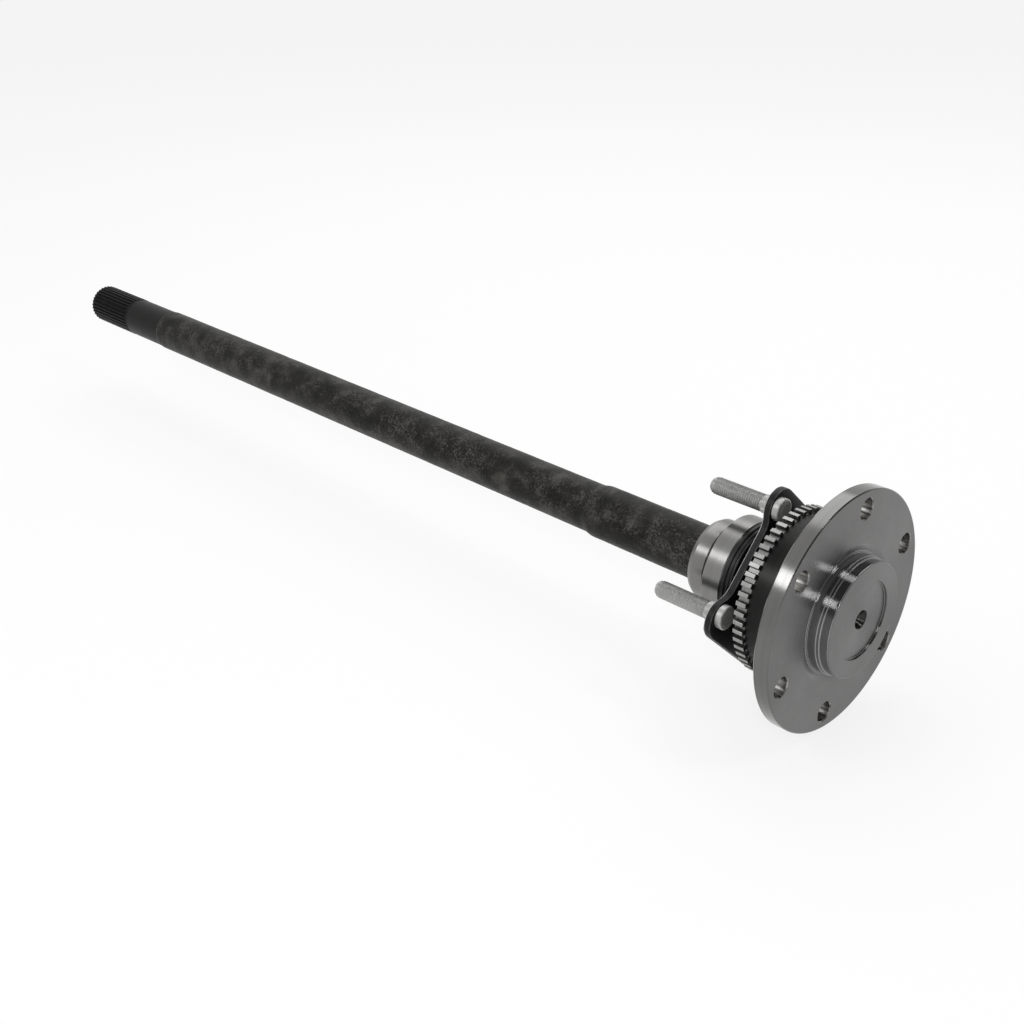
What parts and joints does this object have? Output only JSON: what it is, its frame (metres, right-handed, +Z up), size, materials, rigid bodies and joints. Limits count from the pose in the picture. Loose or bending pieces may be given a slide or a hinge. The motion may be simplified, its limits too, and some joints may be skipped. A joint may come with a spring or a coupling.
{
  "type": "axle shaft",
  "caption": "Semi-floating rear axle shaft with drilled wheel flange, sensor tone ring, bolted retainer plate, seal, taper roller bearing, lock collar and splined inner end.",
  "frame": {"origin": "on the axle, at the level of the wheel face, inside the rotor pilot's wall", "axes": "+X along the axle towards the wheel, +Z up through one retainer bolt, +Y to the far side"},
  "size_m": [0.877, 0.1645, 0.1646],
  "materials": {
    "axle_steel": "turned flange and hub, dark forged scale on the shaft",
    "ring_steel": "sintered, satin",
    "plate_paint": "satin black",
    "bolt_zinc": "dull zinc",
    "seal_black": "rubber-coated pressing, matt",
    "lip_rubber": "matt",
    "spring_steel": "bright wire",
    "bearing_steel": "ground",
    "roller_steel": "polished",
    "cage_steel": "pressed sheet",
    "collar_steel": "turned"
  },
  "bodies": {
    "fixed_set": {"retainer_plate": "plate_paint", "retainer_bolts": "bolt_zinc", "seal_case": "seal_black", "seal_lip": "lip_rubber", "garter_spring": "spring_steel", "bearing_cup": "bearing_steel"},
    "shaft_set": {"axle_shaft": "axle_steel", "tone_ring": "ring_steel", "bearing_cone": "bearing_steel", "lock_collar": "collar_steel"},
    "cage_set": {"bearing_cage": "cage_steel"},
    "roller_01_body": {"roller_01": "roller_steel"},
    "roller_02_body": {"roller_02": "roller_steel"},
    "roller_03_body": {"roller_03": "roller_steel"},
    "roller_04_body": {"roller_04": "roller_steel"},
    "roller_05_body": {"roller_05": "roller_steel"},
    "roller_06_body": {"roller_06": "roller_steel"},
    "roller_07_body": {"roller_07": "roller_steel"},
    "roller_08_body": {"roller_08": "roller_steel"},
    "roller_09_body": {"roller_09": "roller_steel"},
    "roller_10_body": {"roller_10": "roller_steel"},
    "roller_11_body": {"roller_11": "roller_steel"},
    "roller_12_body": {"roller_12": "roller_steel"},
    "roller_13_body": {"roller_13": "roller_steel"},
    "roller_14_body": {"roller_14": "roller_steel"},
    "roller_15_body": {"roller_15": "roller_steel"},
    "roller_16_body": {"roller_16": "roller_steel"},
    "roller_17_body": {"roller_17": "roller_steel"},
    "roller_18_body": {"roller_18": "roller_steel"}
  },
  "joints": [
    {"name": "shaft_spin", "type": "hinge", "parent": "fixed_set", "child": "shaft_set", "pos_m": [0, 0, 0], "axis": [1, 0, 0], "continuous": true},
    {"name": "cage_spin", "type": "hinge", "parent": "fixed_set", "child": "cage_set", "pos_m": [-0.0791, 0, 0], "axis": [1, 0, 0], "continuous": true},
    {"name": "roller_01_spin", "type": "hinge", "parent": "cage_set", "child": "roller_01_body", "pos_m": [-0.0791, 0.02659, 0.00968], "axis": [0.9744, -0.2114, -0.0769], "continuous": true},
    {"name": "roller_02_spin", "type": "hinge", "parent": "cage_set", "child": "roller_02_body", "pos_m": [-0.0791, 0.02168, 0.01819], "axis": [0.9744, -0.1723, -0.1446], "continuous": true},
    {"name": "roller_03_spin", "type": "hinge", "parent": "cage_set", "child": "roller_03_body", "pos_m": [-0.0791, 0.01415, 0.02451], "axis": [0.9744, -0.1125, -0.1948], "continuous": true},
    {"name": "roller_04_spin", "type": "hinge", "parent": "cage_set", "child": "roller_04_body", "pos_m": [-0.0791, 0.00491, 0.02787], "axis": [0.9744, -0.0391, -0.2215], "continuous": true},
    {"name": "roller_05_spin", "type": "hinge", "parent": "cage_set", "child": "roller_05_body", "pos_m": [-0.0791, -0.00491, 0.02787], "axis": [0.9744, 0.0391, -0.2215], "continuous": true},
    {"name": "roller_06_spin", "type": "hinge", "parent": "cage_set", "child": "roller_06_body", "pos_m": [-0.0791, -0.01415, 0.02451], "axis": [0.9744, 0.1125, -0.1948], "continuous": true},
    {"name": "roller_07_spin", "type": "hinge", "parent": "cage_set", "child": "roller_07_body", "pos_m": [-0.0791, -0.02168, 0.01819], "axis": [0.9744, 0.1723, -0.1446], "continuous": true},
    {"name": "roller_08_spin", "type": "hinge", "parent": "cage_set", "child": "roller_08_body", "pos_m": [-0.0791, -0.02659, 0.00968], "axis": [0.9744, 0.2114, -0.0769], "continuous": true},
    {"name": "roller_09_spin", "type": "hinge", "parent": "cage_set", "child": "roller_09_body", "pos_m": [-0.0791, -0.0283, 0], "axis": [0.9744, 0.225, 0], "continuous": true},
    {"name": "roller_10_spin", "type": "hinge", "parent": "cage_set", "child": "roller_10_body", "pos_m": [-0.0791, -0.02659, -0.00968], "axis": [0.9744, 0.2114, 0.0769], "continuous": true},
    {"name": "roller_11_spin", "type": "hinge", "parent": "cage_set", "child": "roller_11_body", "pos_m": [-0.0791, -0.02168, -0.01819], "axis": [0.9744, 0.1723, 0.1446], "continuous": true},
    {"name": "roller_12_spin", "type": "hinge", "parent": "cage_set", "child": "roller_12_body", "pos_m": [-0.0791, -0.01415, -0.02451], "axis": [0.9744, 0.1125, 0.1948], "continuous": true},
    {"name": "roller_13_spin", "type": "hinge", "parent": "cage_set", "child": "roller_13_body", "pos_m": [-0.0791, -0.00491, -0.02787], "axis": [0.9744, 0.0391, 0.2215], "continuous": true},
    {"name": "roller_14_spin", "type": "hinge", "parent": "cage_set", "child": "roller_14_body", "pos_m": [-0.0791, 0.00491, -0.02787], "axis": [0.9744, -0.0391, 0.2215], "continuous": true},
    {"name": "roller_15_spin", "type": "hinge", "parent": "cage_set", "child": "roller_15_body", "pos_m": [-0.0791, 0.01415, -0.02451], "axis": [0.9744, -0.1125, 0.1948], "continuous": true},
    {"name": "roller_16_spin", "type": "hinge", "parent": "cage_set", "child": "roller_16_body", "pos_m": [-0.0791, 0.02168, -0.01819], "axis": [0.9744, -0.1723, 0.1446], "continuous": true},
    {"name": "roller_17_spin", "type": "hinge", "parent": "cage_set", "child": "roller_17_body", "pos_m": [-0.0791, 0.02659, -0.00968], "axis": [0.9744, -0.2114, 0.0769], "continuous": true},
    {"name": "roller_18_spin", "type": "hinge", "parent": "cage_set", "child": "roller_18_body", "pos_m": [-0.0791, 0.0283, 0], "axis": [0.9744, -0.225, 0], "continuous": true}
  ],
  "couplings": [
    {"joint": "cage_spin", "follows": "shaft_spin", "ratio": 0.43717},
    {"joint": "roller_01_spin", "follows": "shaft_spin", "ratio": -3.8157},
    {"joint": "roller_02_spin", "follows": "shaft_spin", "ratio": -3.8157},
    {"joint": "roller_03_spin", "follows": "shaft_spin", "ratio": -3.8157},
    {"joint": "roller_04_spin", "follows": "shaft_spin", "ratio": -3.8157},
    {"joint": "roller_05_spin", "follows": "shaft_spin", "ratio": -3.8157},
    {"joint": "roller_06_spin", "follows": "shaft_spin", "ratio": -3.8157},
    {"joint": "roller_07_spin", "follows": "shaft_spin", "ratio": -3.8157},
    {"joint": "roller_08_spin", "follows": "shaft_spin", "ratio": -3.8157},
    {"joint": "roller_09_spin", "follows": "shaft_spin", "ratio": -3.8157},
    {"joint": "roller_10_spin", "follows": "shaft_spin", "ratio": -3.8157},
    {"joint": "roller_11_spin", "follows": "shaft_spin", "ratio": -3.8157},
    {"joint": "roller_12_spin", "follows": "shaft_spin", "ratio": -3.8157},
    {"joint": "roller_13_spin", "follows": "shaft_spin", "ratio": -3.8157},
    {"joint": "roller_14_spin", "follows": "shaft_spin", "ratio": -3.8157},
    {"joint": "roller_15_spin", "follows": "shaft_spin", "ratio": -3.8157},
    {"joint": "roller_16_spin", "follows": "shaft_spin", "ratio": -3.8157},
    {"joint": "roller_17_spin", "follows": "shaft_spin", "ratio": -3.8157},
    {"joint": "roller_18_spin", "follows": "shaft_spin", "ratio": -3.8157}
  ]
}
